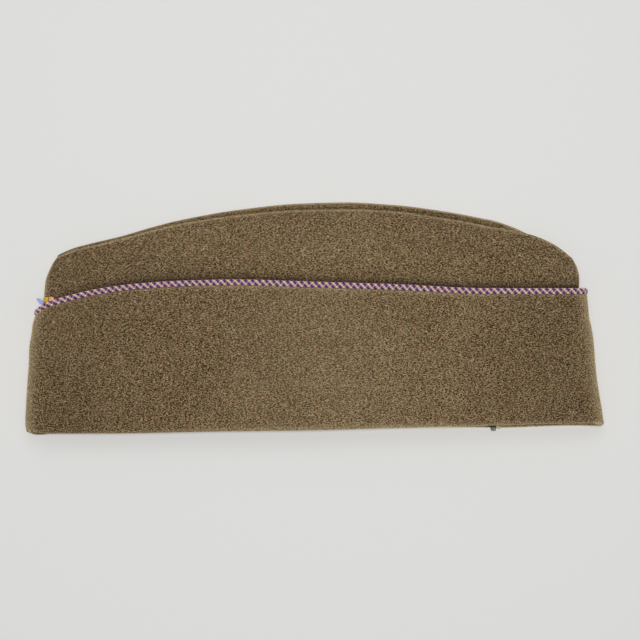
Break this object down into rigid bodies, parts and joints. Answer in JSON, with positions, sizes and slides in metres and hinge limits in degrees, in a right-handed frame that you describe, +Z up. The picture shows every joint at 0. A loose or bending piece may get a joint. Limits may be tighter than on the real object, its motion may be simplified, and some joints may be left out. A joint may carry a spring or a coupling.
{
  "type": "garrison cap",
  "caption": "Wool garrison cap lying flat on one side: two-panel crown with a folded gusset, doubled turn-up curtain and braided cord piping, open at the mouth.",
  "frame": {"origin": "on the table, under the middle of the cap's bounding box", "axes": "+X from the cap's front to its back, along its length; +Y from the mouth to the ridge of the crown; +Z up from the table, out of the wearer's left side"},
  "size_m": [0.2898, 0.1166, 0.0215],
  "materials": {
    "crown_wool": "milled wool serge, matt, finely mottled olive brown",
    "curtain_wool": "milled wool serge, matt, finely mottled olive brown",
    "braided_cord": "round braid of orange and blue strands, slight sheen",
    "cut_cord": "frayed golden strands, slight sheen",
    "sewing_thread": "waxed dark thread"
  },
  "bodies": {
    "root": {"crown_left": "crown_wool", "crown_right": "crown_wool", "crown_gusset": "crown_wool", "curtain_left": "curtain_wool", "curtain_right": "curtain_wool", "piping_left": "braided_cord", "piping_right": "braided_cord", "piping_end": "cut_cord", "hem_knot": "sewing_thread"}
  },
  "joints": []
}
